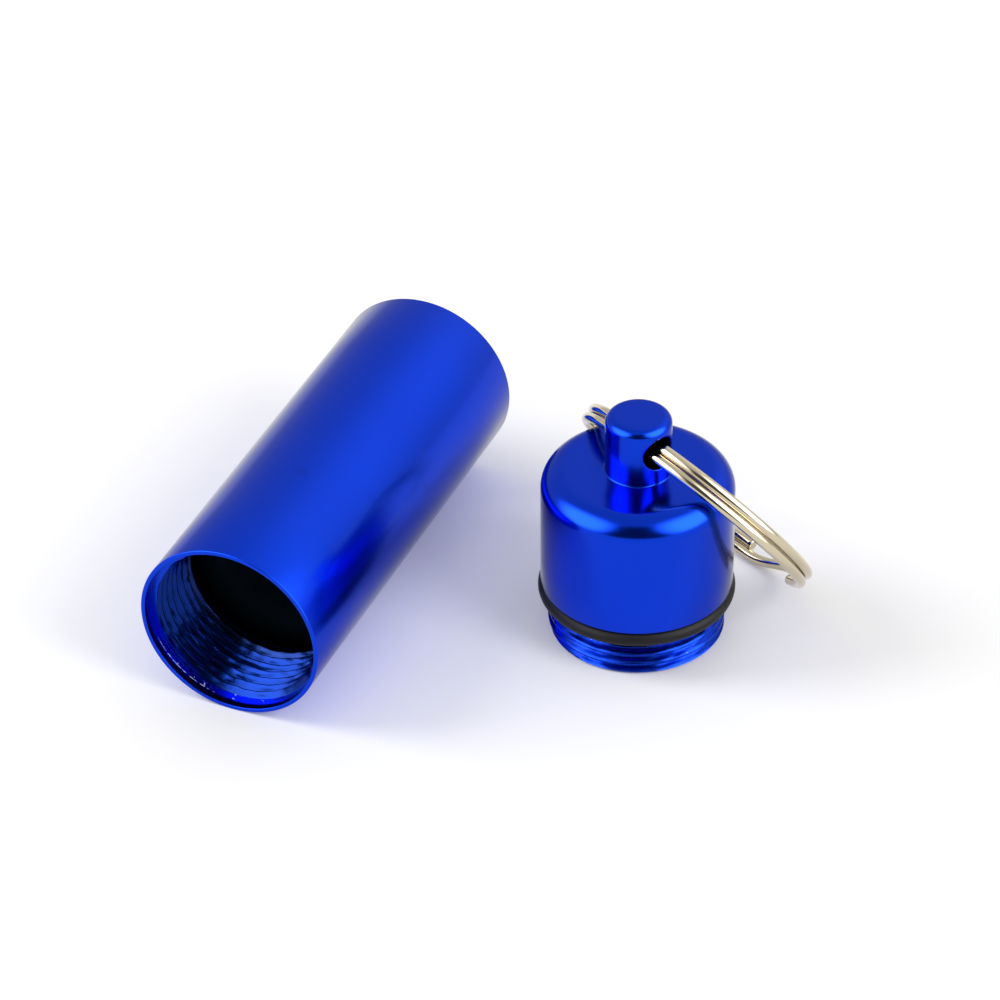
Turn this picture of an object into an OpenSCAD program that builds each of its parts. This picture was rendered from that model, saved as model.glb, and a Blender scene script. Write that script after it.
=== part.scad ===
// Pill fob keychain: a screw-top aluminium tube lying on its side, with its
// cap standing beside it on the thread end and a split ring through the knob.
// Millimetres. The tube's axis runs along Y with the mouth towards -Y, and
// the floor that everything rests on is z = 0.

/* [Tube] */
// Outside diameter of the tube
tube_d = 17; // [15:0.5:24]
// Length of the tube, from the mouth to the closed end
tube_length = 42.2; // [32:0.2:70]
// Thickness of the tube's wall beyond the thread
tube_wall = 1; // [0.9:0.05:1.6]
// Thickness of the closed end
end_wall = 1.2; // [0.8:0.1:3]
// Depth of the smooth band inside the mouth, ahead of the thread
mouth_depth = 1.1; // [0.6:0.1:2]
// Step from the thread's root out to the smooth band
mouth_step = 0.1; // [0.05:0.05:0.2]
// Length of the thread inside the mouth
mouth_thread_length = 7.4; // [5:0.2:12]
// Bevel round the closed end and round the mouth
tube_bevel = 0.15; // [0.05:0.05:0.3]

/* [Thread] */
// Distance from one turn of the thread to the next
thread_pitch = 1; // [0.8:0.05:1.5]
// Depth of the thread in the wall
thread_depth = 0.5; // [0.3:0.05:0.55]
// Width of a turn of the thread at its crest
thread_crest = 0.2; // [0.1:0.02:0.24]
// Radial clearance between the cap's thread and the tube's
thread_clearance = 0.1; // [0.05:0.01:0.2]
// Turn of the cap's thread about the cap's axis, which sets where it starts
thread_start = 155; // [0:5:355]

/* [Cap] */
// How far the cap's side stands out past the tube's side
cap_overhang = 0.1; // [0:0.05:0.5]
// Height of the cap's body, from the shoulder to the flat top
cap_height = 11.8; // [8:0.2:20]
// Radius of the rounded edge round the flat top
cap_fillet = 2.1; // [0.5:0.1:3]
// Length of the threaded plug below the shoulder
plug_length = 5.1; // [4.6:0.1:8]
// Bevel round the plug's end
plug_bevel = 0.35; // [0.1:0.05:0.5]
// Thickness of the plug's wall under the thread
plug_wall = 0.9; // [0.6:0.1:2]
// Thickness of metal between the hollow and the flat top
cap_roof = 6.9; // [2:0.1:7.5]

/* [Knob] */
// Diameter of the knob
knob_d = 5.9; // [5:0.1:8]
// Height of the knob above the flat top
knob_height = 5.7; // [5.2:0.1:9]
// Radius of the rounded edge round the knob's top
knob_fillet = 0.8; // [0.2:0.1:1]
// Radius of the blend where the knob meets the flat top
knob_root = 0.2; // [0.1:0.05:0.4]
// Diameter of the hole through the knob
hole_d = 3.2; // [3.1:0.05:3.4]
// Height of the hole's axis above the flat top
hole_height = 3.1; // [2.2:0.1:3.2]
// Direction of the hole's axis, turned from the X axis
hole_turn = -27; // [-180:1:180]

/* [O-ring] */
// Thickness of the O-ring's rubber
seal_d = 1.5; // [1:0.1:1.6]
// Clearance between the O-ring and the metal round it
seal_gap = 0.05; // [0.02:0.01:0.1]

/* [Split ring] */
// Outside diameter of the split ring
ring_d = 25; // [22:0.5:32]
// Thickness of the ring's wire
wire_d = 0.95; // [0.7:0.05:1]
// Gap between the ring's two turns
turn_gap = 0.42; // [0.41:0.01:0.5]
// Angle round the ring from the knob's hole to the wire's first cut end
wire_start = 148; // [120:1:170]
// Angle over which the wire crosses from one turn to the other
crossing = 34; // [20:1:60]
// How far the ring hangs back through the hole from the hole's axis
ring_slack = 0.2; // [0.1:0.05:0.25]
// Gap left between the ring and the floor or the cap's edge that it leans on
lean_gap = 0.05; // [0.02:0.01:0.3]

/* [Layout] */
// Clear space between the tube's side and the cap's side
stand_gap = 10.8; // [8:0.2:40]
// Distance from the tube's mouth back to the cap's axis
cap_set_back = 25.5; // [10:0.5:40]

/* [Hidden] */

anodised_blue = [0.05, 0.16, 0.75];
seal_black = [0.08, 0.08, 0.08];
nickel = [0.82, 0.80, 0.74];

// Counts of faces, steps and tries
round_faces = 96;
ridge_steps = 32;
wire_sides = 8;
wire_steps = 48;
search_steps = 18;

// The thread's shape: the slope of its flanks, how deep its foot is sunk in
// the metal, the share of the pitch that the foot may take, and the gap
// between the thread's ends and the faces beside them
flank_angle = 30;
ridge_bite = 0.15;
ridge_room = 0.96;
thread_margin = 0.05;

// How far a cutting or joining shape runs past the face it meets
overrun = 1;

// Radii of the tube and its thread
tube_r = tube_d / 2;
bore_r = tube_r - tube_wall;
thread_r = bore_r + thread_depth;
mouth_r = thread_r + mouth_step;

// Radii of the cap and its thread
cap_r = tube_r + cap_overhang;
crest_r = thread_r - thread_clearance;
neck_r = bore_r - thread_clearance;
hollow_r = neck_r - plug_wall;
knob_r = knob_d / 2;

// Heights on the standing cap
shoulder_z = plug_length;
top_z = shoulder_z + cap_height;
hole_z = top_z + hole_height;
seal_z = shoulder_z - seal_gap - seal_d / 2;
seal_ring_r = neck_r + seal_gap + seal_d / 2;
hollow_depth = top_z - cap_roof;
plug_thread_top = seal_z - seal_d / 2 - seal_gap;

// The ring's centre line and its two turns
wire_r = wire_d / 2;
ring_r = ring_d / 2 - wire_r;
turn_offset = (wire_d + turn_gap) / 2;
wire_turn = 720 - crossing;

// Places of the cap and the tube before the whole is centred
cap_x = tube_r + stand_gap + cap_r;
cap_y = cap_set_back;

// Points of a tube swept along a path: rings of points, each in turn
function ring_faces(count, sides) = [
    for (i = [0 : count - 2], j = [0 : sides - 1])
        let (k = (j + 1) % sides)
        each [
            [i * sides + j, i * sides + k, (i + 1) * sides + k],
            [i * sides + j, (i + 1) * sides + k, (i + 1) * sides + j]
        ]
];
function end_faces(count, sides) = [
    for (j = [1 : sides - 2]) each [
        [0, j + 1, j],
        [(count - 1) * sides, (count - 1) * sides + j, (count - 1) * sides + j + 1]
    ]
];
function smooth(t) = t <= 0 ? 0 : t >= 1 ? 1 : t * t * (3 - 2 * t);

// The wire's path, as its angle round the ring and its offset along the
// ring's axis: one turn low, a crossing, then one turn high
function wire_offset(turned) =
    turn_offset * (2 * smooth((turned - 360 + crossing) / crossing) - 1);

// Directions of the leaning ring: along the hole, down the slope, and its axis
hole_way = [cos(hole_turn), sin(hole_turn), 0];
out_way = [-sin(hole_turn), cos(hole_turn), 0];
function down_way(lean) = cos(lean) * out_way + [0, 0, -sin(lean)];
function ring_axis(lean) = cross(hole_way, down_way(lean));
function ring_centre(lean) =
    [0, 0, hole_z] + (ring_r - ring_slack) * down_way(lean);
function out_from_centre(lean, angle) =
    sin(angle) * hole_way - cos(angle) * down_way(lean);
function on_ring(lean, angle, offset) =
    ring_centre(lean) + ring_r * out_from_centre(lean, angle)
    + offset * ring_axis(lean);

// Distance from a point to the cap's body, a cylinder with a rounded top edge
function cap_distance(p) =
    let (
        across = norm([p.x, p.y]) - (cap_r - cap_fillet),
        above = p.z - (top_z - cap_fillet)
    )
    norm([max(across, 0), max(above, 0)]) + min(max(across, above), 0) - cap_fillet;

// The lean at which the ring comes to rest on the floor or on the cap's edge
function least_distance(lean) = min([
    for (angle = [20 : 4 : 180], side = [-1, 1], offset = [-1, 1])
        let (p = on_ring(lean, side * angle, offset * turn_offset))
        min(cap_distance(p), p.z)
]);
function resting_lean(low, high, left) =
    let (middle = (low + high) / 2)
    left == 0 ? middle
    : least_distance(middle) > wire_r + lean_gap ? resting_lean(middle, high, left - 1)
    : resting_lean(low, middle, left - 1);
ring_lean = resting_lean(5, 85, search_steps);

// The wire's centre line, in the standing cap's own place
wire_count = ceil(wire_turn / 360 * wire_steps) + 1;
wire_turned = [for (i = [0 : wire_count - 1]) i * wire_turn / (wire_count - 1)];
wire_line = [for (t = wire_turned) on_ring(ring_lean, wire_start - t, wire_offset(t))];

// The least distance between the two turns, measured on the centre line
turn_points = wire_count - 1;
points_apart = floor(300 / wire_turn * turn_points);
least_gap = min([
    for (i = [0 : turn_points - points_apart], j = [i + points_apart : turn_points])
        norm(wire_line[i] - wire_line[j])
]) - wire_d;
echo(least_gap_between_ring_turns = least_gap, ring_lean = ring_lean);

// The middle of the whole, which the layout is moved back to
x_high = max(cap_x + cap_r, max([for (p = wire_line) cap_x + p.x + wire_r]));
y_high = max(tube_length, max([for (p = wire_line) cap_y + p.y + wire_r]));
x_middle = (x_high - tube_r) / 2;
y_middle = y_high / 2;
echo(tube_x = -x_middle, mouth_y = -y_middle, cap_at = [cap_x - x_middle, cap_y - y_middle]);

// One unbroken ridge of a screw thread, rising with a right-hand turn.
// from_r is where it stands on the metal, and to_r its crest. Its flanks run
// on into the metal, as far as the turn beside them leaves room.
module thread_ridge(from_r, to_r, z_low, z_high, start) {
    side = to_r > from_r ? 1 : -1;
    foot_r = from_r - side * ridge_bite;
    crest_half = thread_crest / 2;
    foot_half = min(
        crest_half + abs(to_r - foot_r) * tan(flank_angle),
        ridge_room * thread_pitch / 2
    );
    rise = z_high - z_low - 2 * (foot_half + thread_margin);
    turns = rise / thread_pitch;
    count = ceil(turns * ridge_steps) + 1;
    profile = [
        [foot_r, -foot_half],
        [to_r, -crest_half],
        [to_r, crest_half],
        [foot_r, foot_half]
    ];
    sides = len(profile);
    ordered = side > 0 ? profile : [for (i = [sides - 1 : -1 : 0]) profile[i]];
    points = [
        for (i = [0 : count - 1])
            let (
                part = i / (count - 1),
                angle = start + 360 * turns * part,
                z = z_low + thread_margin + foot_half + rise * part
            )
            for (p = ordered) [p.x * cos(angle), p.x * sin(angle), z + p.y]
    ];
    polyhedron(
        points,
        concat(ring_faces(count, sides), end_faces(count, sides)),
        convexity = 10
    );
}

// A cylinder with a bevel round both ends
module bevelled_rod(radius, height, bevel) {
    rotate_extrude($fn = round_faces)
        polygon([
            [0, 0],
            [radius - bevel, 0],
            [radius, bevel],
            [radius, height - bevel],
            [radius - bevel, height],
            [0, height]
        ]);
}

// Half section of a post with a rounded top edge, standing on y = 0
module rounded_post(radius, height, fillet) {
    square([radius, height - fillet]);
    square([radius - fillet, height]);
    translate([radius - fillet, height - fillet]) circle(fillet, $fn = round_faces);
}

module tube() {
    thread_end = mouth_depth + mouth_thread_length;
    color(anodised_blue)
        translate([-x_middle, -y_middle, tube_r])
        rotate([-90, 0, 0])
        union() {
            difference() {
                bevelled_rod(tube_r, tube_length, tube_bevel);
                translate([0, 0, -overrun])
                    cylinder(r = mouth_r, h = mouth_depth + overrun, $fn = round_faces);
                cylinder(r = thread_r, h = thread_end, $fn = round_faces);
                translate([0, 0, mouth_depth])
                    cylinder(r = bore_r, h = tube_length - end_wall - mouth_depth, $fn = round_faces);
            }
            thread_ridge(thread_r, bore_r, mouth_depth, thread_end, 0);
        }
}

module cap() {
    color(anodised_blue)
        translate([cap_x - x_middle, cap_y - y_middle, 0])
        difference() {
            union() {
                bevelled_rod(neck_r, shoulder_z + overrun, plug_bevel);
                thread_ridge(neck_r, crest_r, plug_bevel, plug_thread_top, thread_start);
                translate([0, 0, shoulder_z])
                    rotate_extrude($fn = round_faces)
                    rounded_post(cap_r, cap_height, cap_fillet);
                translate([0, 0, top_z - knob_fillet])
                    rotate_extrude($fn = round_faces)
                    rounded_post(knob_r, knob_height + knob_fillet, knob_fillet);
                translate([0, 0, top_z])
                    knob_blend();
            }
            translate([0, 0, -overrun])
                cylinder(r = hollow_r, h = hollow_depth + overrun, $fn = round_faces);
            translate([0, 0, hole_z])
                rotate([0, 90, hole_turn])
                cylinder(d = hole_d, h = knob_d + 2 * overrun, center = true, $fn = round_faces);
        }
}

// The small inside curve where the knob meets the flat top
module knob_blend() {
    rotate_extrude($fn = round_faces)
        difference() {
            translate([knob_r - knob_root, -knob_root])
                square([2 * knob_root, 2 * knob_root]);
            translate([knob_r + knob_root, knob_root])
                circle(knob_root, $fn = round_faces);
        }
}

module o_ring() {
    color(seal_black)
        translate([cap_x - x_middle, cap_y - y_middle, seal_z])
        rotate_extrude($fn = round_faces)
        translate([seal_ring_r, 0])
        circle(d = seal_d, $fn = round_faces);
}

module split_ring() {
    axis = ring_axis(ring_lean);
    points = [
        for (i = [0 : wire_count - 1])
            let (away = out_from_centre(ring_lean, wire_start - wire_turned[i]))
            for (j = [0 : wire_sides - 1])
                let (a = 360 * (j + 0.5) / wire_sides)
                wire_line[i] + wire_r * (cos(a) * away + sin(a) * axis)
    ];
    color(nickel)
        translate([cap_x - x_middle, cap_y - y_middle, 0])
        polyhedron(
            points,
            concat(ring_faces(wire_count, wire_sides), end_faces(wire_count, wire_sides)),
            convexity = 10
        );
}

tube();
cap();
o_ring();
split_ring();
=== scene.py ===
# %% [markdown]
# # A screw-top pill fob, open beside its cap
#
# The object is an anodised aluminium tube lying on its side. Its cap stands
# next to it on the thread end, with a rubber O-ring round the neck and a
# split ring through the knob. All four pieces are turned or wound, so nearly
# every surface here comes from spinning a short outline about an axis.
#
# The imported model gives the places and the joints. It could be dressed with
# materials alone, but its threads have flat facets and its edges are bare, so
# each piece is modelled again here, finer, in the same place.

# %% Load the frame
import math

import bmesh
import bpy
from mathutils import Matrix, Vector
from mathutils.noise import noise as noise_value


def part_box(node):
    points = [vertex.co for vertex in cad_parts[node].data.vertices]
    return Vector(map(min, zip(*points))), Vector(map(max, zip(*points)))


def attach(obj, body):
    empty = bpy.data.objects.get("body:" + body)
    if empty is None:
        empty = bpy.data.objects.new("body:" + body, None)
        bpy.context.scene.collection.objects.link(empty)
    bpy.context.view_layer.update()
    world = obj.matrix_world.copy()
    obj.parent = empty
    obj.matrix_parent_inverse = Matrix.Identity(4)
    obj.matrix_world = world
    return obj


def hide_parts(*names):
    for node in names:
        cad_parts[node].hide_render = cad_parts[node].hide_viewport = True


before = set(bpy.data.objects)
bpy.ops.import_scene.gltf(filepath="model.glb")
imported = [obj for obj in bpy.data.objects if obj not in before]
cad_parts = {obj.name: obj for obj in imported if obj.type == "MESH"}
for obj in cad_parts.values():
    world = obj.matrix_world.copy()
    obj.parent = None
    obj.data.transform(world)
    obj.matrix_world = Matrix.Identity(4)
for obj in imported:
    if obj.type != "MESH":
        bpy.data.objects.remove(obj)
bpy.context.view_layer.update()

# %% [markdown]
# ## Units and places
#
# A machinist thinks in millimetres, and Blender's scene is in metres. The
# outlines below are written in millimetres and scaled once, when a piece is
# finished. The places of the tube and the cap are read from the frame, so a
# moved model would carry its looks along.

# %% Units and places
MM = 0.001

tube_low, tube_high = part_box("tube")
cap_low, cap_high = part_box("cap")
tube_place = Vector((tube_low.x + tube_high.x, 2 * tube_low.y, tube_low.z + tube_high.z)) / 2
cap_place = Vector((cap_low.x + cap_high.x, cap_low.y + cap_high.y, 0)) / 2
print("tube's mouth at", [round(x / MM, 2) for x in tube_place])
print("cap's foot at", [round(x / MM, 2) for x in cap_place])

# %% [markdown]
# ## The camera
#
# The photograph was taken from well above and a long way off, with a lens
# that hardly shows perspective. A camera could be placed by eye, but its
# direction, distance and lens were solved from the round outlines of the
# mouth, the far end and the cap, so the camera is set by those values.

# %% Camera
bpy.context.scene.view_settings.view_transform = "Standard"

camera_place = Vector((132.505, -306.703, 258.516)) * MM
camera_turn = math.radians(23.475)
camera_tilt = math.radians(36.268)
camera_roll = math.radians(-0.45)

ahead = Vector((
    -math.sin(camera_turn) * math.cos(camera_tilt),
    math.cos(camera_turn) * math.cos(camera_tilt),
    -math.sin(camera_tilt),
))
level = Vector((math.cos(camera_turn), math.sin(camera_turn), 0))
upright = level.cross(ahead)
right = math.cos(camera_roll) * level + math.sin(camera_roll) * upright
above = math.cos(camera_roll) * upright - math.sin(camera_roll) * level

camera_data = bpy.data.cameras.new("camera")
camera_data.sensor_width = 36
camera_data.lens = 169.2
camera_data.clip_start = 0.01
camera_data.clip_end = 20
camera = bpy.data.objects.new("camera", camera_data)
camera.matrix_world = (
    Matrix.Translation(camera_place)
    @ Matrix((right, above, -ahead)).transposed().to_4x4()
)
bpy.context.scene.collection.objects.link(camera)
bpy.context.scene.camera = camera
print("camera looks along", [round(x, 3) for x in ahead])

# %% [markdown]
# ## Outlines for the lathe
#
# A lathe turns an outline into a solid, and bmesh's spin does the same. An
# outline here is a list of (radius, height) points. Round corners could be
# left to a Bevel modifier, but a few points on an arc put them exactly where
# they are wanted and keep the flat faces flat. Long straight runs and wide
# flats get a point or two on the way, so that their faces stay short.

# %% Arcs and spinning
ROUND_STEPS = 128
MERGE_DISTANCE = 0.0005


def arc(centre, radius, start, end, count):
    """Points on an arc, from one angle to another in degrees."""
    angles = [math.radians(start + (end - start) * i / count) for i in range(count + 1)]
    return [(centre[0] + radius * math.cos(a), centre[1] + radius * math.sin(a)) for a in angles]


def turned(mesh, outline):
    """Spins an outline a full turn about the Z axis."""
    points = [mesh.verts.new((radius, 0, height)) for radius, height in outline]
    lines = [mesh.edges.new(pair) for pair in zip(points, points[1:])]
    bmesh.ops.spin(
        mesh, geom=points + lines, cent=(0, 0, 0), axis=(0, 0, 1),
        angle=math.tau, steps=ROUND_STEPS, use_merge=True,
    )
    bmesh.ops.remove_doubles(mesh, verts=mesh.verts, dist=MERGE_DISTANCE)


print("a full turn has", ROUND_STEPS, "steps")

# %% [markdown]
# ## The thread's outline
#
# A screw thread is its own outline carried round and up at once. The outline
# here covers one pitch, from root to root, so the end of one turn meets the
# start of the next. It could be a plain zigzag, but a cut thread has a small
# flat at its root and crest and flanks that ease into them.

# %% Thread outline
THREAD_PITCH = 1.0
THREAD_FLAT = 0.11
FLANK_ROWS = 5


def thread_outline(root, crest):
    """One pitch of thread, from root to root, with eased flanks."""
    rows = [(root, 0.0), (root, THREAD_FLAT / 2)]
    for i in range(1, FLANK_ROWS):
        share = i / FLANK_ROWS
        eased = share * share * (3 - 2 * share)
        height = THREAD_FLAT / 2 + (THREAD_PITCH / 2 - THREAD_FLAT) * share
        rows.append((root + (crest - root) * (share + eased) / 2, height))
    rows.append((crest, THREAD_PITCH / 2 - THREAD_FLAT / 2))
    return rows + [(radius, THREAD_PITCH - height) for radius, height in reversed(rows)]


print("thread outline rows", len(thread_outline(8, 7.5)))

# %% [markdown]
# ## The thread's skin
#
# A Screw modifier could carry the outline round, but spin can rise as it
# turns, through dvec, which keeps everything in one mesh. One turn is spun
# and the others are copies of it, a pitch higher each, merged into one skin.
# Two cuts trim it flat, and the loops that they leave are bridged to the
# plain parts.

# %% Thread skin
THREAD_STEPS = 128
THREAD_MERGE = 0.004
LOOP_REACH = 0.1


def trim(mesh, low, high):
    """Cuts the mesh flat at two heights and drops what lies beyond."""
    for height, up in ((low, False), (high, True)):
        bmesh.ops.bisect_plane(
            mesh, geom=mesh.verts[:] + mesh.edges[:] + mesh.faces[:], dist=MERGE_DISTANCE,
            plane_co=(0, 0, height), plane_no=(0, 0, 1),
            clear_outer=up, clear_inner=not up,
        )
    bmesh.ops.remove_doubles(mesh, verts=mesh.verts, dist=THREAD_MERGE)


def thread_skin(mesh, root, crest, low, high, crest_height):
    """A right-hand thread about Z that covers all between two heights.
    crest_height is where its crest passes the angle 0."""
    first = crest_height - THREAD_PITCH / 2
    first -= THREAD_PITCH * math.ceil((first - low) / THREAD_PITCH + 1)
    turns = math.ceil((high - first) / THREAD_PITCH) + 1
    outline = thread_outline(root, crest)
    points = [mesh.verts.new((radius, 0, first + height)) for radius, height in outline]
    lines = [mesh.edges.new(pair) for pair in zip(points, points[1:])]
    bmesh.ops.spin(
        mesh, geom=points + lines, cent=(0, 0, 0), axis=(0, 0, 1),
        dvec=(0, 0, THREAD_PITCH / THREAD_STEPS), angle=math.tau, steps=THREAD_STEPS,
    )
    one_turn = mesh.verts[:] + mesh.edges[:] + mesh.faces[:]
    for turn in range(1, turns):
        copied = bmesh.ops.duplicate(mesh, geom=one_turn)["geom"]
        moved = [part for part in copied if isinstance(part, bmesh.types.BMVert)]
        bmesh.ops.translate(mesh, vec=(0, 0, THREAD_PITCH * turn), verts=moved)
    bmesh.ops.remove_doubles(mesh, verts=mesh.verts, dist=THREAD_MERGE)
    trim(mesh, low, high)
    print("thread of", turns, "turns before trimming")


def bridge_open_loops(mesh, height):
    """Joins the two open loops that lie close to a height."""
    open_edges = [edge for edge in mesh.edges if edge.is_boundary]
    rims = [
        edge for edge in open_edges
        if all(abs(vert.co.z - height) < LOOP_REACH for vert in edge.verts)
    ]
    bmesh.ops.bridge_loops(mesh, edges=rims)


print("a turn of thread has", THREAD_STEPS, "steps")

# %% [markdown]
# ## Torn crests
#
# The real threads aren't clean. In the photograph their crests are torn and
# don't run quite true. A Displace modifier could roughen the whole skin, but
# the roots should stay clean, so each point moves by a smooth noise times its
# share of the way from root to crest. The skin is made a little too long for
# that and trimmed once more, which keeps its ends flat.

# %% Wandering crests
WANDER_SCALE = 1.3
WANDER_ROOM = 0.3
OTHER_NOISE = Vector((9, 9, 9))


def wandering_thread(mesh, root, crest, low, high, crest_height, aside, in_out):
    """A thread whose crests wander aside, and in and out, by up to so many mm."""
    thread_skin(mesh, root, crest, low - WANDER_ROOM, high + WANDER_ROOM, crest_height)
    for vert in mesh.verts:
        share = (vert.co.xy.length - root) / (crest - root)
        seed = vert.co * WANDER_SCALE
        vert.co.z += noise_value(seed) * aside * share
        vert.co.xy *= 1 + noise_value(seed + OTHER_NOISE) * in_out * share / root
    trim(mesh, low, high)


print("the crests' noise has a scale of", WANDER_SCALE, "per mm")

# %% [markdown]
# ## Finishing a piece
#
# Every piece ends the same way. Its faces are turned outwards, edges sharper
# than a limit are marked so that shading breaks there, and its mesh is scaled
# to metres and moved to its place, while its object stays at the origin. A
# new object could be placed by its own location, but then a pattern on Object
# coordinates would slide when the export bakes it.

# %% Finishing
def cut_sharp_edges(mesh, limit):
    """Smooth faces, with a break in the shading at edges past the limit."""
    for face in mesh.faces:
        face.smooth = True
    for edge in mesh.edges:
        edge.smooth = not (len(edge.link_faces) == 2 and edge.calc_face_angle(0) > limit)


def finish_piece(mesh, name, place, body, node, sharp=35):
    """Writes the mesh to an object that rides on a body and stands for a node."""
    bmesh.ops.recalc_face_normals(mesh, faces=mesh.faces)
    cut_sharp_edges(mesh, math.radians(sharp))
    bmesh.ops.transform(mesh, matrix=place @ Matrix.Scale(MM, 4), verts=mesh.verts)
    data = bpy.data.meshes.new(name)
    open_edges = sum(not edge.is_manifold for edge in mesh.edges)
    mesh.to_mesh(data)
    mesh.free()
    piece = bpy.data.objects.new(name, data)
    bpy.context.scene.collection.objects.link(piece)
    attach(piece, body)
    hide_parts(node)
    print(name, len(data.polygons), "faces,", open_edges, "open edges")
    return piece


# %% [markdown]
# ## The tube
#
# The real tube is bored from bar or drawn, then faced, threaded inside and
# dyed blue. A tube with no thread could be one outline. Here the first runs
# from the middle of the closed end, down the side, round the lip and into a
# smooth band ahead of the thread, and the second makes the plain bore beyond
# it and the floor. The thread's skin goes between the two, and fades out
# where the tool was drawn back. Each part stops a hair short of the thread,
# and a bridge closes the gap.

# %% Tube
TUBE_RADIUS = 8.5
TUBE_LENGTH = (tube_high.y - tube_low.y) / MM
FAR_BEVEL = 0.14
LIP_BEVEL = 0.09
BORE_RADIUS = 7.5
THREAD_ROOT = 8.0
BAND_RADIUS = 8.1
BAND_BEVEL = 0.05
BAND_DEPTH = 1.1
BAND_GAP = 0.01
THREAD_END = 8.5
BORE_GAP = 0.05
THREAD_FADE = 0.8
TUBE_CREST_AT_ZERO = 1.62
FLOOR_DEPTH = TUBE_LENGTH - 1.2
FLOOR_CORNER = 0.5


def make_tube():
    mesh = bmesh.new()
    wandering_thread(
        mesh, THREAD_ROOT, BORE_RADIUS, BAND_DEPTH, THREAD_END, TUBE_CREST_AT_ZERO,
        aside=0.12, in_out=0.06,
    )
    for vert in mesh.verts:
        radius = vert.co.xy.length
        fade = min(1, (THREAD_END - vert.co.z) / THREAD_FADE)
        wanted = BORE_RADIUS + (radius - BORE_RADIUS) * fade
        vert.co.xy *= wanted / radius
    turned(mesh, [
        (0, TUBE_LENGTH),
        (4, TUBE_LENGTH),
        *arc((TUBE_RADIUS - FAR_BEVEL, TUBE_LENGTH - FAR_BEVEL), FAR_BEVEL, 90, 0, 4),
        (TUBE_RADIUS, TUBE_LENGTH - 8),
        (TUBE_RADIUS, TUBE_LENGTH / 2),
        (TUBE_RADIUS, 8),
        *arc((TUBE_RADIUS - LIP_BEVEL, LIP_BEVEL), LIP_BEVEL, 0, -90, 4),
        *arc((BAND_RADIUS + BAND_BEVEL, BAND_BEVEL), BAND_BEVEL, -90, -180, 3),
        (BAND_RADIUS, BAND_DEPTH - BAND_GAP),
    ])
    turned(mesh, [
        (BORE_RADIUS, THREAD_END + BORE_GAP),
        (BORE_RADIUS, THREAD_END + 6),
        (BORE_RADIUS, FLOOR_DEPTH - 8),
        *arc((BORE_RADIUS - FLOOR_CORNER, FLOOR_DEPTH - FLOOR_CORNER), FLOOR_CORNER, 0, 90, 6),
        (3, FLOOR_DEPTH),
        (0, FLOOR_DEPTH),
    ])
    bridge_open_loops(mesh, BAND_DEPTH)
    bridge_open_loops(mesh, THREAD_END)
    lay_down = Matrix.Translation(tube_place) @ Matrix.Rotation(-math.pi / 2, 4, "X")
    return finish_piece(mesh, "pill_tube", lay_down, "tube_body", "tube")


tube = make_tube()

# %% [markdown]
# ## The cap's cross hole
#
# The knob's hole is drilled after turning, as in the workshop. It could be
# cut in bmesh by intersecting the faces, but a Boolean modifier keeps both
# solids closed. Its result is read back into the mesh, and the sharp edges
# that lie on the drill's surface are bevelled, as a countersink breaks them.

# %% Cross hole
HOLE_RADIUS = 1.6
HOLE_HEIGHT = 20.0
HOLE_TURN = math.radians(-27)
HOLE_BEVEL = 0.1
HOLE_TOLERANCE = 0.003
DRILL_LENGTH = 9
DRILL_SIDES = 64

hole_axis = Vector((math.cos(HOLE_TURN), math.sin(HOLE_TURN), 0))
hole_centre = Vector((0, 0, HOLE_HEIGHT))


def bore(mesh):
    """Takes the drill's cylinder out of the cap."""
    drill = bmesh.new()
    bmesh.ops.create_cone(
        drill, cap_ends=True, segments=DRILL_SIDES, radius1=HOLE_RADIUS, radius2=HOLE_RADIUS,
        depth=DRILL_LENGTH,
    )
    lay = Matrix.Rotation(HOLE_TURN, 4, "Z") @ Matrix.Rotation(math.pi / 2, 4, "Y")
    bmesh.ops.transform(drill, matrix=Matrix.Translation(hole_centre) @ lay, verts=drill.verts)
    blank = bpy.data.objects.new("cap_blank", bpy.data.meshes.new("cap_blank"))
    cutter = bpy.data.objects.new("cap_drill", bpy.data.meshes.new("cap_drill"))
    mesh.to_mesh(blank.data)
    drill.to_mesh(cutter.data)
    drill.free()
    for made in (blank, cutter):
        bpy.context.scene.collection.objects.link(made)
    cut = blank.modifiers.new("drill", "BOOLEAN")
    cut.operation = "DIFFERENCE"
    cut.solver = "EXACT"
    cut.object = cutter
    bored = blank.evaluated_get(bpy.context.evaluated_depsgraph_get())
    mesh.clear()
    mesh.from_mesh(bored.to_mesh())
    for made in (blank, cutter):
        bpy.data.objects.remove(made)


def on_hole(vert):
    """Whether a point lies on the drill's surface."""
    offset = vert.co - hole_centre
    from_axis = (offset - hole_axis * offset.dot(hole_axis)).length
    return abs(from_axis - HOLE_RADIUS) < HOLE_TOLERANCE


def break_hole_edges(mesh):
    """Bevels the sharp edges round both ends of the hole."""
    sharp = math.radians(20)
    rim = [
        edge for edge in mesh.edges
        if all(on_hole(vert) for vert in edge.verts) and edge.calc_face_angle(0) > sharp
    ]
    bmesh.ops.bevel(
        mesh, geom=rim, offset=HOLE_BEVEL, segments=3, profile=0.5, affect="EDGES", material=-1,
        clamp_overlap=False,
    )
    print("hole's rim edges", len(rim))


print("the hole is", 2 * HOLE_RADIUS, "mm across, at height", HOLE_HEIGHT)

# %% [markdown]
# ## The cap
#
# The cap is turned from one bar: a knob, a flat top with a rounded edge, a
# straight side, a neck for the O-ring and a threaded plug that is hollow
# underneath. The plug's end has a bevel, and where the bevel meets the thread
# it cuts the first turn down, which is what a real thread shows at its start.
# Its outline could be one line, but the thread's skin sits in the middle of
# it, so the hollow and the outside are spun apart and bridged.

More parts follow.
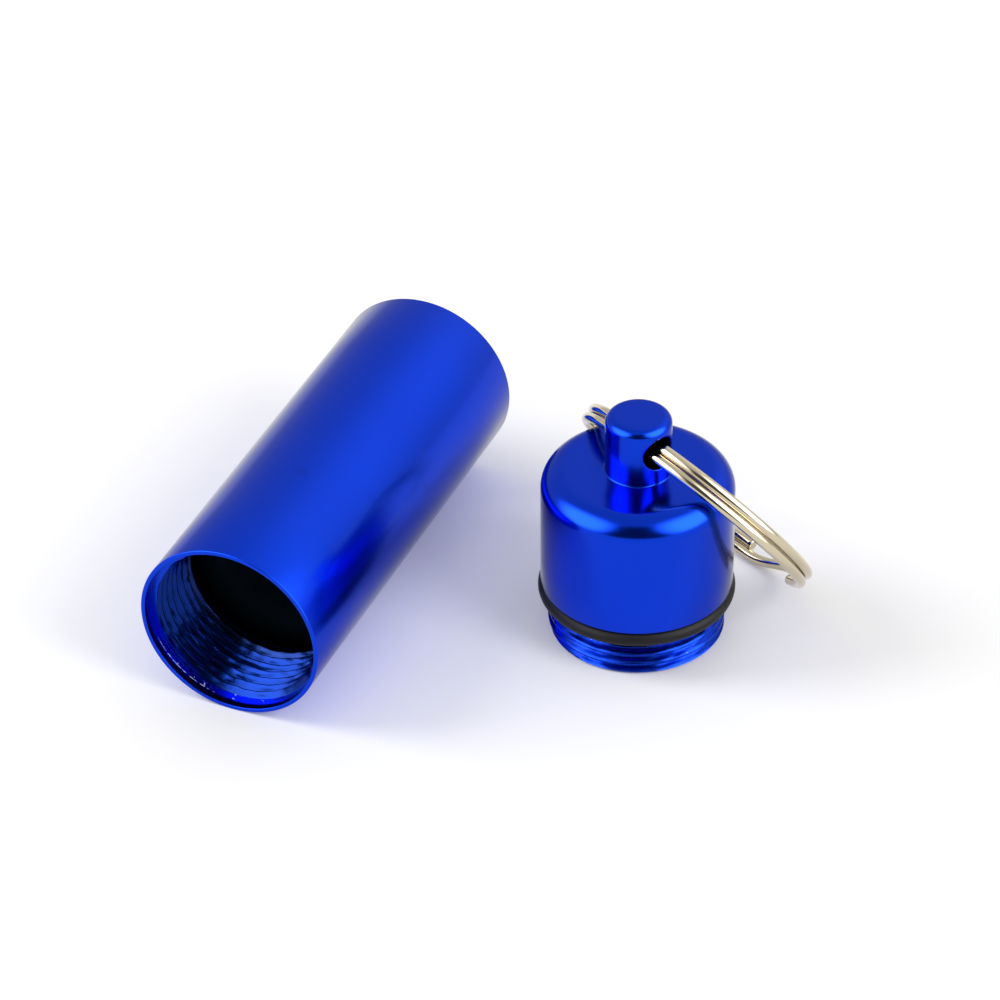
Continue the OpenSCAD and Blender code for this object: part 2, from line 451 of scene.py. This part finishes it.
# %% Cap
CAP_RADIUS = 8.6
SHOULDER = 5.1
TOP = 16.9
TOP_FILLET = 2.1
NECK_RADIUS = 7.4
EDGE_BEVEL = 0.08
CREST_RADIUS = 7.9
THREAD_TOP = 3.45
NECK_GAP = 0.05
PLUG_FADE = 0.35
PLUG_RIM = 7.58
RIM_GAP = 0.02
HOLLOW_RADIUS = 6.5
HOLLOW_DEPTH = 10.0
HOLLOW_BEVEL = 0.15
HOLLOW_CORNER = 0.3
KNOB_RADIUS = 2.95
KNOB_TOP = 22.6
KNOB_FILLET = 0.8
KNOB_ROOT = 0.16
CREST_AT_FRONT = 1.17
FRONT_ANGLE = 291.4


def make_cap():
    mesh = bmesh.new()
    crest_at_zero = CREST_AT_FRONT - THREAD_PITCH * FRONT_ANGLE / 360
    wandering_thread(
        mesh, NECK_RADIUS, CREST_RADIUS, 0, THREAD_TOP, crest_at_zero,
        aside=0.07, in_out=-0.02,
    )
    for vert in mesh.verts:
        radius = vert.co.xy.length
        fade = min(1, max(0, (THREAD_TOP - vert.co.z) / PLUG_FADE))
        wanted = NECK_RADIUS + (radius - NECK_RADIUS) * fade
        wanted = min(wanted, PLUG_RIM + vert.co.z)
        vert.co.xy *= wanted / radius
    turned(mesh, [
        (HOLLOW_RADIUS + HOLLOW_BEVEL, RIM_GAP),
        (HOLLOW_RADIUS, RIM_GAP + HOLLOW_BEVEL),
        (HOLLOW_RADIUS, 5),
        *arc(
            (HOLLOW_RADIUS - HOLLOW_CORNER, HOLLOW_DEPTH - HOLLOW_CORNER), HOLLOW_CORNER, 0, 90, 4,
        ),
        (3, HOLLOW_DEPTH),
        (0, HOLLOW_DEPTH),
    ])
    turned(mesh, [
        (NECK_RADIUS, THREAD_TOP + NECK_GAP),
        (NECK_RADIUS, SHOULDER - EDGE_BEVEL),
        *arc((NECK_RADIUS + EDGE_BEVEL, SHOULDER - EDGE_BEVEL), EDGE_BEVEL, 180, 90, 3),
        *arc((CAP_RADIUS - EDGE_BEVEL, SHOULDER + EDGE_BEVEL), EDGE_BEVEL, -90, 0, 3),
        (CAP_RADIUS, SHOULDER + 3),
        (CAP_RADIUS, TOP - TOP_FILLET - 3),
        *arc((CAP_RADIUS - TOP_FILLET, TOP - TOP_FILLET), TOP_FILLET, 0, 90, 24),
        (5, TOP),
        *arc((KNOB_RADIUS + KNOB_ROOT, TOP + KNOB_ROOT), KNOB_ROOT, 270, 180, 4),
        *arc((KNOB_RADIUS - KNOB_FILLET, KNOB_TOP - KNOB_FILLET), KNOB_FILLET, 0, 90, 14),
        (1, KNOB_TOP),
        (0, KNOB_TOP),
    ])
    bridge_open_loops(mesh, 0)
    bridge_open_loops(mesh, THREAD_TOP)
    bmesh.ops.recalc_face_normals(mesh, faces=mesh.faces)
    bore(mesh)
    break_hole_edges(mesh)
    stand = Matrix.Translation(cap_place)
    return finish_piece(mesh, "cap_with_knob", stand, "cap_body", "cap")


cap = make_cap()

# %% [markdown]
# ## The O-ring
#
# The O-ring is a round rubber cord in a circle. It could be one torus, but a
# real one never sits quite level in its groove, so the spun ring is dipped a
# little at one side, which the photograph shows too.

# %% O-ring
SEAL_RADIUS = 8.11
SEAL_HALF = 0.70
SEAL_HEIGHT = 4.29
SEAL_SIDES = 32
SEAL_STEPS = 160
SEAL_DIP = 0.035
SEAL_DIP_ANGLE = math.radians(200)


def make_seal():
    mesh = bmesh.new()
    section = bmesh.ops.create_circle(mesh, segments=SEAL_SIDES, radius=SEAL_HALF)["verts"]
    to_side = Matrix.Translation((SEAL_RADIUS, 0, SEAL_HEIGHT))
    stand_up = Matrix.Rotation(math.pi / 2, 4, "X")
    bmesh.ops.transform(mesh, matrix=to_side @ stand_up, verts=section)
    bmesh.ops.spin(
        mesh, geom=mesh.verts[:] + mesh.edges[:], cent=(0, 0, 0), axis=(0, 0, 1),
        angle=math.tau, steps=SEAL_STEPS, use_merge=True,
    )
    bmesh.ops.remove_doubles(mesh, verts=mesh.verts, dist=MERGE_DISTANCE)
    for vert in mesh.verts:
        angle = math.atan2(vert.co.y, vert.co.x)
        vert.co.z -= SEAL_DIP * math.cos(angle - SEAL_DIP_ANGLE)
    stand = Matrix.Translation(cap_place)
    return finish_piece(mesh, "seal_ring", stand, "seal_body", "o_ring")


seal = make_seal()

# %% [markdown]
# ## Where the split ring hangs
#
# The ring hangs from the knob's hole and leans back until its far side rests
# on the floor. It could be placed by its centre, but that comes out of the
# hole, the lean and the radius, so those three are the values here.

# %% Ring's place
RING_RADIUS = 12.025
RING_SLACK = 0.2
RING_LEAN = math.radians(53.42)


def ring_place():
    """The matrix whose Z is the ring's axis, and whose X points at the knob."""
    outward = Vector((-math.sin(HOLE_TURN), math.cos(HOLE_TURN), 0))
    down_slope = math.cos(RING_LEAN) * outward - math.sin(RING_LEAN) * Vector((0, 0, 1))
    axis = hole_axis.cross(down_slope)
    centre = cap_place + hole_centre * MM + (RING_RADIUS - RING_SLACK) * MM * down_slope
    turn = Matrix((-down_slope, hole_axis, axis)).transposed()
    return Matrix.Translation(centre) @ turn.to_4x4()


print("ring's centre at", [round(x / MM, 2) for x in ring_place().translation])

# %% [markdown]
# ## The split ring
#
# A split ring is spring wire wound nearly two turns. The wire runs one turn
# low, crosses over and runs a second turn high, and each end is cropped. A
# bezier curve could follow that, but spinning the wire's round section about
# the ring's own axis a few degrees at a time, with a shift along the axis in
# the crossing, gives true circles and a crossing of the right length.

# %% Split ring
WIRE_RADIUS = 0.475
WIRE_SIDES = 20
TURN_SHIFT = 0.482
WIRE_START = 148
WIRE_TURN = 686
WIRE_STEP = 3
CROSSING = 26
CROSSING_START = 328
CROP_BEVEL = 0.09


def wire_shift(turned_so_far):
    """How far along the axis the wire lies, after so many degrees."""
    share = min(1, max(0, (turned_so_far - CROSSING_START) / CROSSING))
    eased = share * share * (3 - 2 * share)
    return TURN_SHIFT * (2 * eased - 1)


def wind(mesh, front):
    """Spins the section along the wire, step by step, and returns its last edges."""
    turned_so_far = 0
    while turned_so_far < WIRE_TURN:
        step = min(WIRE_STEP, WIRE_TURN - turned_so_far)
        rise = wire_shift(turned_so_far + step) - wire_shift(turned_so_far)
        made = bmesh.ops.spin(
            mesh, geom=front, cent=(0, 0, 0), axis=(0, 0, 1),
            dvec=(0, 0, rise), angle=math.radians(-step), steps=1,
        )
        front = [part for part in made["geom_last"] if not isinstance(part, bmesh.types.BMFace)]
        turned_so_far += step
    return [part for part in front if isinstance(part, bmesh.types.BMEdge)]


def make_split_ring():
    mesh = bmesh.new()
    section = bmesh.ops.create_circle(mesh, segments=WIRE_SIDES, radius=WIRE_RADIUS)["verts"]
    to_side = Matrix.Translation((RING_RADIUS, 0, -TURN_SHIFT))
    stand_up = Matrix.Rotation(math.pi / 2, 4, "X")
    bmesh.ops.transform(mesh, matrix=to_side @ stand_up, verts=section)
    front = mesh.verts[:] + mesh.edges[:]
    bmesh.ops.contextual_create(mesh, geom=mesh.edges[:])
    last_edges = wind(mesh, front)
    bmesh.ops.contextual_create(mesh, geom=last_edges)
    to_start = Matrix.Rotation(math.radians(WIRE_START), 3, "Z")
    bmesh.ops.rotate(mesh, verts=mesh.verts, cent=(0, 0, 0), matrix=to_start)
    sharp = math.radians(60)
    cropped = [edge for edge in mesh.edges if edge.calc_face_angle(0) > sharp]
    bmesh.ops.bevel(
        mesh, geom=cropped, offset=CROP_BEVEL, segments=2, profile=0.5, affect="EDGES",
        material=-1,
    )
    return finish_piece(
        mesh, "split_ring_wire", ring_place(), "ring_body", "split_ring", sharp=50,
    )


ring = make_split_ring()

# %% [markdown]
# ## Shader sums
#
# A material's maths reads best as a sum on one line. This class wraps a
# socket, so that 1 - mask or mask * 0.2 adds the Math node for it. Anything
# that isn't plain maths comes from one method, which takes the node's type,
# its settings and its sockets.

# %% Shader helper
class Amount:
    """A number that a shader works out, held as the socket it comes from."""

    def __init__(self, finish, socket):
        self.finish = finish
        self.socket = socket

    def maths(self, operation, first, second):
        settings = {"operation": operation}
        return self.finish.node("ShaderNodeMath", settings, {0: first, 1: second}).out()

    def __add__(self, other):
        return self.maths("ADD", self, other)

    def __radd__(self, other):
        return self.maths("ADD", other, self)

    def __sub__(self, other):
        return self.maths("SUBTRACT", self, other)

    def __rsub__(self, other):
        return self.maths("SUBTRACT", other, self)

    def __mul__(self, other):
        return self.maths("MULTIPLY", self, other)

    def __rmul__(self, other):
        return self.maths("MULTIPLY", other, self)

    def __pow__(self, other):
        return self.maths("POWER", self, other)

    def __rpow__(self, other):
        return self.maths("POWER", other, self)

    def __abs__(self):
        return self.maths("ABSOLUTE", self, 0.0)


class Made:
    """A node, with its outputs by name or number."""

    def __init__(self, finish, node):
        self.finish = finish
        self.node = node

    def out(self, name=0):
        return Amount(self.finish, self.node.outputs[name])


class Finish:
    """The nodes of a finish, or of the room round the object."""

    def __init__(self, owner):
        owner.use_nodes = True
        self.owner = owner
        self.tree = owner.node_tree
        self.tree.nodes.clear()

    def node(self, kind, settings=None, sockets=None):
        """Adds a node. Its settings come first, then its sockets' values or links."""
        node = self.tree.nodes.new(kind)
        for name, value in (settings or {}).items():
            setattr(node, name, value)
        for name, value in (sockets or {}).items():
            if isinstance(value, Amount):
                self.tree.links.new(value.socket, node.inputs[name])
            else:
                node.inputs[name].default_value = value
        return Made(self, node)

    def close(self, shader):
        """Joins a shader to the output, and returns the material or the world."""
        kind = "World" if isinstance(self.owner, bpy.types.World) else "Material"
        self.node("ShaderNodeOutput" + kind, None, {"Surface": shader})
        return self.owner


print("shader helper ready")

# %% [markdown]
# ## Masks, mixes and grain
#
# The finishes share four short helpers. A ramp turns a measure into a mask, a
# blend lays one colour over another by a mask, noise gives grain, and a bump
# lets the grain tilt the surface. A painted picture could hold all of that,
# but it blurs when one comes close, and these sums don't.

# %% Shader building blocks
def ramp(finish, value, start, end):
    """Goes from 0 to 1 as a value goes from start to end, and stays there."""
    sockets = {0: value, 1: start, 2: end, 3: 0.0, 4: 1.0}
    return finish.node("ShaderNodeMapRange", None, sockets).out()


def blend(finish, share, first, second):
    """A colour between two others."""
    sockets = {0: share, 6: first, 7: second}
    return finish.node("ShaderNodeMix", {"data_type": "RGBA"}, sockets).out(2)


def noise(finish, place, scale, detail, roughness=0.6):
    """A random value around 0.5 that changes over about 1 / scale metres."""
    return finish.node("ShaderNodeTexNoise", None, {
        "Vector": place, "Scale": scale, "Detail": detail, "Roughness": roughness,
    }).out("Fac")


def bump(finish, strength, distance, height):
    """A normal that tilts with a height, which is given in steps of distance."""
    return finish.node("ShaderNodeBump", None, {
        "Strength": strength, "Distance": distance, "Height": height,
    }).out()


print("ramp, blend, noise and bump ready")

# %% [markdown]
# ## Blue anodised aluminium
#
# Anodising grows a clear film on the metal and dyes it, so light passes the
# blue film, bounces off bright metal and comes back, while the film's own
# surface adds a little white gloss, most of it near the edges. A blue metal
# under a clear coat does the same: it could be one metal alone, but then the
# pale lilac edges of the photograph would be missing.
#
# The colour varies very slightly, as dye does, the roughness a little more,
# and very fine turning lines run round the part. The cap's colour is set a
# shade deeper than the tube's. Each piece adds its own wear and painted shade,
# and where the thread is torn, the bump is stronger.

# %% Anodised finish
TUBE_DYE = ((0.0003, 0.038, 0.60, 1), (0.0006, 0.045, 0.68, 1))
CAP_DYE = ((0.0003, 0.034, 0.56, 1), (0.0006, 0.040, 0.635, 1))
TUBE_LINES = (60, 5200, 60)
CAP_LINES = (60, 60, 5200)
TEAR_HEIGHT = 17.0


def anodised(name, dye, line_scale, roughness, marks_and_shade):
    """Dyed metal. The last argument is a function that adds what one piece alone has: its wear and
    scratches, and the painted shade in its hollows.
    """
    finish = Finish(bpy.data.materials.new(name))
    place = finish.node("ShaderNodeTexCoord").out("Object")
    cloud = noise(finish, place, scale=90.0, detail=3.0, roughness=0.5)
    stretched = finish.node("ShaderNodeMapping", None, {"Vector": place, "Scale": line_scale}).out()
    lines = noise(finish, stretched, scale=1.0, detail=4.0)
    grit = noise(finish, place, scale=4200.0, detail=2.0)
    colour = blend(finish, cloud, dye[0], dye[1])
    # The piece adds its wear and its painted shade here.
    colour, bare, torn_and_shaded = marks_and_shade(finish, place, colour)
    rough = roughness + cloud * 0.04 + lines * 0.03 + bare * 0.3
    tears = noise(finish, place, scale=2000.0, detail=3.0) * torn_and_shaded * TEAR_HEIGHT
    height = lines * 0.6 + grit * 0.5 + tears
    relief = bump(finish, strength=0.2, distance=0.006 * MM, height=height)
    shader = finish.node("ShaderNodeBsdfPrincipled", None, {
        "Base Color": colour, "Metallic": 1 - bare, "Roughness": rough, "Normal": relief,
        "Specular Tint": (0.5, 0.5, 0.42, 1), "Coat Weight": 1.0,
        "Coat Roughness": roughness * 0.8, "Coat IOR": 1.14,
    }).out()
    return finish.close(shader)


print("tears are up to", TEAR_HEIGHT, "steps of the bump high")

# %% [markdown]
# ## Inside the tube
#
# Inside the mouth, the thread carries a painted shade that makes it darker than
# the outside, and the bore just past the thread a deeper painted shade, where
# little light gets in. Dye hardly reaches the deep bore, which is duller and
# greyer. Cutting the thread left a burr with no dye on it, which shows as a
# fine pale line and a few glints low in the mouth. All of this could be
# painted on a picture, but a few sums on the position put it exactly.
#
# Each pair below is the range over which a mask fades in or out. It is in
# millimetres, or in the noise's own values for the grains. BURR_SIDE is the
# one exception, a direction across and up.

# %% Bore, torn thread, painted shade and burr
# A painted shade for the threads: inside the tube's mouth, and at half strength on the cap's plug.
THREAD_SHADE_BLUE = (0.0003, 0.018, 0.175, 1)
# A painted shade for the bore just past the thread and for the cap's hollow.
BORE_SHADE = (0.012, 0.022, 0.032, 1)
BORE_GREY = (0.035, 0.07, 0.10, 1)
BARE_METAL = (0.74, 0.79, 0.90, 1)
IN_TUBE = (8.3, 8.2)
BEFORE_END = (TUBE_LENGTH - 0.8, TUBE_LENGTH - 0.9)
IN_THREAD = (BAND_DEPTH - 0.1, BAND_DEPTH + 0.3)
PAST_THREAD = (6.5, 9.5)
DEEP_IN_BORE = (9, 12)
DEEP_BARE = 0.5
BURR_DEPTH = 0.8
BURR_HALF_WIDTH = (0.02, 0.055)
BURR_SIDE = (-0.64, -0.77)
BURR_REACH = (7.2, 7.6)
BURR_GRAINS = (0.42, 0.58)
CHIP_GRAINS = (0.69, 0.73)
CHIP_HALF_WIDTH = (0.15, 0.3)
CHIP_HEIGHT = (-5.0, -6.0)


def offset_in_mm(finish, place, origin):
    """The offset from a point, as three numbers in millimetres."""
    settings = {"operation": "SUBTRACT"}
    offset = finish.node("ShaderNodeVectorMath", settings, {0: place, 1: origin}).out()
    apart = finish.node("ShaderNodeSeparateXYZ", None, {0: offset})
    return [apart.out(axis) * (1 / MM) for axis in "XYZ"]


def burr_and_chips(finish, place, across, depth, height):
    """Where the burr and the chips have no dye."""
    to_side = across * BURR_SIDE[0] + height * BURR_SIDE[1]
    near_burr = 1 - ramp(finish, abs(depth - BURR_DEPTH), *BURR_HALF_WIDTH)
    grains = ramp(finish, noise(finish, place, scale=2600.0, detail=2.0), *BURR_GRAINS)
    chips = ramp(finish, noise(finish, place, scale=3000.0, detail=1.0), *CHIP_GRAINS)
    around = 1 - ramp(finish, abs(depth - BAND_DEPTH), *CHIP_HALF_WIDTH)
    burr = near_burr * ramp(finish, to_side, *BURR_REACH) * grains
    return burr + chips * around * ramp(finish, height, *CHIP_HEIGHT)


print("the burr lies", BURR_DEPTH, "mm inside the mouth")

# %% [markdown]
# ## The tube's scratch and smudge
#
# One small scratch bends down the tube's side, and a faint smudge lies on its
# top. A cut in the mesh would suit a deep scratch, but this one is only a dark
# line, so both are drawn with masks, as the burr is.

# %% Tube's marks and painted shade
SCRATCH_BLUE = (0.002, 0.004, 0.02, 1)
SCRATCH_Y = 2.5
SCRATCH_TOP = 11.05
SCRATCH_LENGTH = 1.3
SCRATCH_BEND = 0.3
SCRATCH_HALF_WIDTH = (0.025, 0.06)
SCRATCH_SIDE = (7.0, 7.2)
SCRATCH_TAPER = 0.15
SCRATCH_SHADE = 0.85
SMUDGE_PLACE = Vector((-16.3, -7.5, 16.95)) * MM
SMUDGE_FADE = (0.9 * MM, 0.2 * MM)
SMUDGE_SHADE = 0.12


def scratch_and_smudge(finish, place, across, depth, height):
    """How dark the scratch and the smudge make the side and the top."""
    share = (height + (tube_place.z / MM - SCRATCH_TOP)) * (-1 / SCRATCH_LENGTH)
    path = share * share * SCRATCH_BEND + (SCRATCH_Y - tube_place.y / MM)
    line = 1 - ramp(finish, abs(depth - path), *SCRATCH_HALF_WIDTH)
    taper = ramp(finish, share, 0, SCRATCH_TAPER) * ramp(finish, share, 1, 1 - SCRATCH_TAPER)
    scratch = line * ramp(finish, across, *SCRATCH_SIDE) * taper
    settings = {"operation": "DISTANCE"}
    away = finish.node("ShaderNodeVectorMath", settings, {0: place, 1: SMUDGE_PLACE}).out("Value")
    return scratch * SCRATCH_SHADE + ramp(finish, away, *SMUDGE_FADE) * SMUDGE_SHADE


def tube_marks_and_shade(finish, place, colour):
    """The tube's colour with its wear and painted shade, how bare its metal is, and where its
    thread tears and takes painted shade.
    """
    across, depth, height = offset_in_mm(finish, place, tube_place)
    radius = (across * across + height * height) ** 0.5
    inside = ramp(finish, radius, *IN_TUBE) * ramp(finish, depth, *BEFORE_END)
    torn_and_shaded = inside * ramp(finish, depth, *IN_THREAD)
    deep = inside * ramp(finish, depth, *DEEP_IN_BORE)
    # Painted shade: the thread inside the mouth is made darker.
    colour = blend(finish, torn_and_shaded, colour, THREAD_SHADE_BLUE)
    # Painted shade: the bore just past the thread is made darker still.
    colour = blend(finish, inside * ramp(finish, depth, *PAST_THREAD), colour, BORE_SHADE)
    colour = blend(finish, deep, colour, BORE_GREY)
    undyed = inside * burr_and_chips(finish, place, across, depth, height)
    bare = ramp(finish, undyed, 0, 1)
    colour = blend(finish, bare, colour, BARE_METAL)
    dark = scratch_and_smudge(finish, place, across, depth, height)
    return blend(finish, dark, colour, SCRATCH_BLUE), bare + deep * DEEP_BARE, torn_and_shaded


tube_blue = anodised("tube_anodised", TUBE_DYE, TUBE_LINES, roughness=0.2, marks_and_shade=tube_marks_and_shade)
tube.data.materials.append(tube_blue)
print("the tube has", tube_blue.name)

# %% [markdown]
# ## The cap's marks and painted shade
#
# The cap's hollow gets the bore's painted shade, and its cross hole a nearly
# black painted shade. Its plug has the same thread, less torn, with the same
# painted shade at half strength and a chip here and there. The dark could be
# left to the light alone, but here it is painted into the colour. So the same
# masks as on the tube are used, about the cap's own axis.

# %% Cap's marks and painted shade
# A nearly black painted shade for the inside of the knob's hole.
HOLE_SHADE_BLACK = (0.004, 0.005, 0.010, 1)
IN_HOLLOW = (6.6, 6.55)
BELOW_ROOF = (10.2, 10.1)
ABOVE_RIM = (0.2, 3.0)
IN_KNOB = (2.88, 2.8)
IN_HOLE = (1.7, 1.75)
ON_PLUG = (3.4, 3.2)
OUTSIDE_PLUG = (7.3, 7.4)
ON_CRESTS = (7.8, 7.85)
PLUG_CHIP_GRAINS = (0.76, 0.79)
# Scales the plug's tears in the bump and its painted shade in the colour alike.
PLUG_TORN_AND_SHADED = 0.5


def cap_marks_and_shade(finish, place, colour):
    """The cap's colour with its chips and painted shade, how bare its metal is, and where its
    thread tears and takes painted shade.
    """
    across, along, height = offset_in_mm(finish, place, cap_place)
    radius = (across * across + along * along) ** 0.5
    on_plug = ramp(finish, height, *ON_PLUG)
    in_hollow = ramp(finish, radius, *IN_HOLLOW) * ramp(finish, height, *BELOW_ROOF)
    near_hole = 1 - ramp(finish, abs(height - HOLE_HEIGHT), *IN_HOLE)
    in_hole = ramp(finish, radius, *IN_KNOB) * near_hole
    torn_and_shaded = on_plug * ramp(finish, radius, *OUTSIDE_PLUG) * PLUG_TORN_AND_SHADED
    # Painted shade: the cap's hollow is made as dark as the bore.
    colour = blend(finish, in_hollow * ramp(finish, height, *ABOVE_RIM), colour, BORE_SHADE)
    # Painted shade: the inside of the knob's hole is made nearly black.
    colour = blend(finish, in_hole, colour, HOLE_SHADE_BLACK)
    # Painted shade: the plug's thread is made darker, at half strength.
    colour = blend(finish, torn_and_shaded, colour, THREAD_SHADE_BLUE)
    chips = ramp(finish, noise(finish, place, scale=3000.0, detail=1.0), *PLUG_CHIP_GRAINS)
    bare = chips * on_plug * ramp(finish, radius, *ON_CRESTS)
    return blend(finish, bare, colour, BARE_METAL), bare, torn_and_shaded


cap_blue = anodised("cap_anodised", CAP_DYE, CAP_LINES, roughness=0.17, marks_and_shade=cap_marks_and_shade)
cap.data.materials.append(cap_blue)
print("the cap has", cap_blue.name)

# %% [markdown]
# ## Black rubber
#
# The O-ring is moulded rubber, nearly black and matt, with a soft sheen where
# it curves away and a grain too fine to see singly. It could be one flat dark
# colour, but that looks like paint. Here the roughness and the bump carry the
# grain, and the colour shifts by a hair with a little dust.

# %% Rubber finish
CLEAN_RUBBER = (0.004, 0.004, 0.005, 1)
DUSTY_RUBBER = (0.010, 0.010, 0.011, 1)


def rubber():
    finish = Finish(bpy.data.materials.new("seal_rubber_black"))
    place = finish.node("ShaderNodeTexCoord").out("Object")
    grain = noise(finish, place, scale=3000.0, detail=3.0)
    dust = noise(finish, place, scale=420.0, detail=4.0)
    relief = bump(finish, strength=0.5, distance=0.02 * MM, height=grain + dust * 0.6)
    shader = finish.node("ShaderNodeBsdfPrincipled", None, {
        "Base Color": blend(finish, dust, CLEAN_RUBBER, DUSTY_RUBBER), "Metallic": 0.0,
        "Roughness": 0.42 + grain * 0.16, "Normal": relief, "Specular IOR Level": 0.2,
    }).out()
    return finish.close(shader)


seal.data.materials.append(rubber())
print("the O-ring has", seal.data.materials[0].name)

# %% [markdown]
# ## Nickel plate
#
# The split ring is steel wire with bright nickel on it, warmer than chrome.
# It could be a perfect mirror, but plated wire has drawing lines and rub
# marks, so the roughness varies and a fine noise breaks up the reflections.

# %% Nickel finish
DARK_NICKEL = (0.56, 0.48, 0.33, 1)
PALE_NICKEL = (0.67, 0.60, 0.45, 1)


def nickel():
    finish = Finish(bpy.data.materials.new("nickel_plated_wire"))
    place = finish.node("ShaderNodeTexCoord").out("Object")
    rubs = noise(finish, place, scale=900.0, detail=4.0, roughness=0.65)
    cloud = noise(finish, place, scale=150.0, detail=2.0, roughness=0.5)
    relief = bump(finish, strength=0.25, distance=0.02 * MM, height=rubs)
    shader = finish.node("ShaderNodeBsdfPrincipled", None, {
        "Base Color": blend(finish, cloud, DARK_NICKEL, PALE_NICKEL), "Metallic": 1.0,
        "Roughness": 0.05 + rubs * 0.12, "Normal": relief,
    }).out()
    return finish.close(shader)


ring.data.materials.append(nickel())
print("the split ring has", ring.data.materials[0].name)

# %% [markdown]
# ## Directions in the room
#
# Everything round the object is placed by its direction as the photographer
# would point at it: so far to the right of the camera, and so far up. Plain
# coordinates could do that, but these turn with the camera's own angle. The
# room's shader compares a ray with such a direction by their dot product.

# %% Directions
def toward(azimuth, elevation):
    """A direction, from an azimuth off the camera's own and an elevation."""
    turn = camera_turn + math.radians(azimuth)
    rise = math.radians(elevation)
    return Vector((
        math.sin(turn) * math.cos(rise), -math.cos(turn) * math.cos(rise), math.sin(rise),
    ))


def nearness(room, azimuth, elevation):
    """The cosine of the angle between a ray and a direction."""
    return room.node("ShaderNodeVectorMath", {"operation": "DOT_PRODUCT"}, {
        0: room.node("ShaderNodeTexCoord").out("Generated"), 1: toward(azimuth, elevation),
    }).out("Value")


def soft_spot(room, azimuth, elevation, inner, outer):
    """1 within the inner angle of a direction, and 0 beyond the outer one."""
    return room.node("ShaderNodeMapRange", {"interpolation_type": "SMOOTHSTEP"}, {
        0: nearness(room, azimuth, elevation),
        1: math.cos(math.radians(outer)), 2: math.cos(math.radians(inner)), 3: 0.0, 4: 1.0,
    }).out()


to_camera = toward(0, math.degrees(camera_tilt))
print("the camera lies along", [round(x, 3) for x in to_camera])

# %% [markdown]
# ## The studio
#
# The photograph is a product shot on white paper. The polished metal mirrors
# the room, and that tells how it was lit: a large soft box on either side, a
# pale backdrop behind that is brightest at the right, and dark round the
# camera. The boxes make the two bright patches on each rounded edge, the dark
# between them makes the crescent, and the paper fills the upright walls.
#
# Boxes and cards could be modelled, but their hard edges would show in the
# metal. So the room is painted in the world's shader, as soft round spots, for
# the rays that metal sends out. The camera sees white in its place, and all
# other rays find one even level that fills the shadows.

# %% World
FILL = 0.64
BACKDROP_LEVEL = 0.70
BACKDROP_PEAK = 0.46
BACKDROP_FOCUS = 8.8
CAMERA_DARK = 0.88
LEFT_BOX_LEVEL = 4.6
RIGHT_BOX_LEVEL = 5.0


def make_world():
    room = Finish(bpy.data.worlds.new("studio"))
    rays = room.node("ShaderNodeLightPath")
    peak = nearness(room, azimuth=132, elevation=36) ** BACKDROP_FOCUS
    around_camera = soft_spot(room, azimuth=0, elevation=20, inner=28, outer=46)
    left_box = soft_spot(room, azimuth=-70, elevation=29, inner=12, outer=39)
    right_box = soft_spot(room, azimuth=64, elevation=30, inner=12, outer=42)
    backdrop = BACKDROP_LEVEL + peak * BACKDROP_PEAK
    boxes = left_box * LEFT_BOX_LEVEL + right_box * RIGHT_BOX_LEVEL
    mirrored = backdrop * (1 - around_camera * CAMERA_DARK) + boxes
    by_metal = rays.out("Is Glossy Ray") + rays.out("Is Transmission Ray")
    by_camera = rays.out("Is Camera Ray")
    strength = by_camera + by_metal * mirrored + (1 - by_camera - by_metal) * FILL
    light = room.node("ShaderNodeBackground", None, {"Color": (1, 1, 1, 1), "Strength": strength})
    bpy.context.scene.world = room.close(light.out())


make_world()
print("fill light", FILL)

# %% [markdown]
# ## The paper
#
# The floor is white paper. A photographer's backdrop is lit until it is just
# past white, so that only the deeper shadows stay on it. More light would do
# that, but it would bleach the object too, so the paper glows a little for
# the rays that the camera or the metal sends, and lights nothing.

# %% Floor
FLOOR_SIZE = 6.0
PAPER = (0.93, 0.93, 0.93, 1)
FLOOR_GLOW = 0.10


def make_floor():
    mesh = bmesh.new()
    bmesh.ops.create_grid(mesh, x_segments=1, y_segments=1, size=FLOOR_SIZE / 2)
    data = bpy.data.meshes.new("floor")
    mesh.to_mesh(data)
    mesh.free()
    floor = bpy.data.objects.new("floor", data)
    bpy.context.scene.collection.objects.link(floor)
    finish = Finish(bpy.data.materials.new("floor_paper"))
    rays = finish.node("ShaderNodeLightPath")
    seen = rays.out("Is Camera Ray") + rays.out("Is Glossy Ray") + rays.out("Is Transmission Ray")
    paper = finish.node("ShaderNodeBsdfDiffuse", None, {"Color": PAPER}).out()
    glow = finish.node("ShaderNodeEmission", None, {"Strength": seen * FLOOR_GLOW}).out()
    surface = finish.node("ShaderNodeAddShader", None, {0: paper, 1: glow}).out()
    data.materials.append(finish.close(surface))


make_floor()
print("the paper is", FLOOR_SIZE, "m wide")

# %% [markdown]
# ## The lamps
#
# Two area lamps throw the shadows, the stronger from the left. The room's
# light alone could do, but it would leave only a faint dark rim under each
# piece, and the lamps give the shadows their direction. They are kept from
# the metal, which mirrors the painted boxes instead.

# %% Lamps
LAMP_DISTANCE = 0.9
LAMP_SIZE = 0.4


def soft_lamp(name, azimuth, elevation, watts):
    away = toward(azimuth, elevation)
    data = bpy.data.lights.new(name, "AREA")
    data.shape = "DISK"
    data.size = LAMP_SIZE
    data.energy = watts
    lamp = bpy.data.objects.new(name, data)
    lamp.matrix_world = (
        Matrix.Translation(away * LAMP_DISTANCE)
        @ away.to_track_quat("Z", "Y").to_matrix().to_4x4()
    )
    lamp.visible_camera = False
    lamp.visible_glossy = False
    bpy.context.scene.collection.objects.link(lamp)
    print(name, watts, "W")


soft_lamp("left_lamp", azimuth=-95, elevation=38, watts=3.2)
soft_lamp("right_lamp", azimuth=52, elevation=40, watts=2.2)
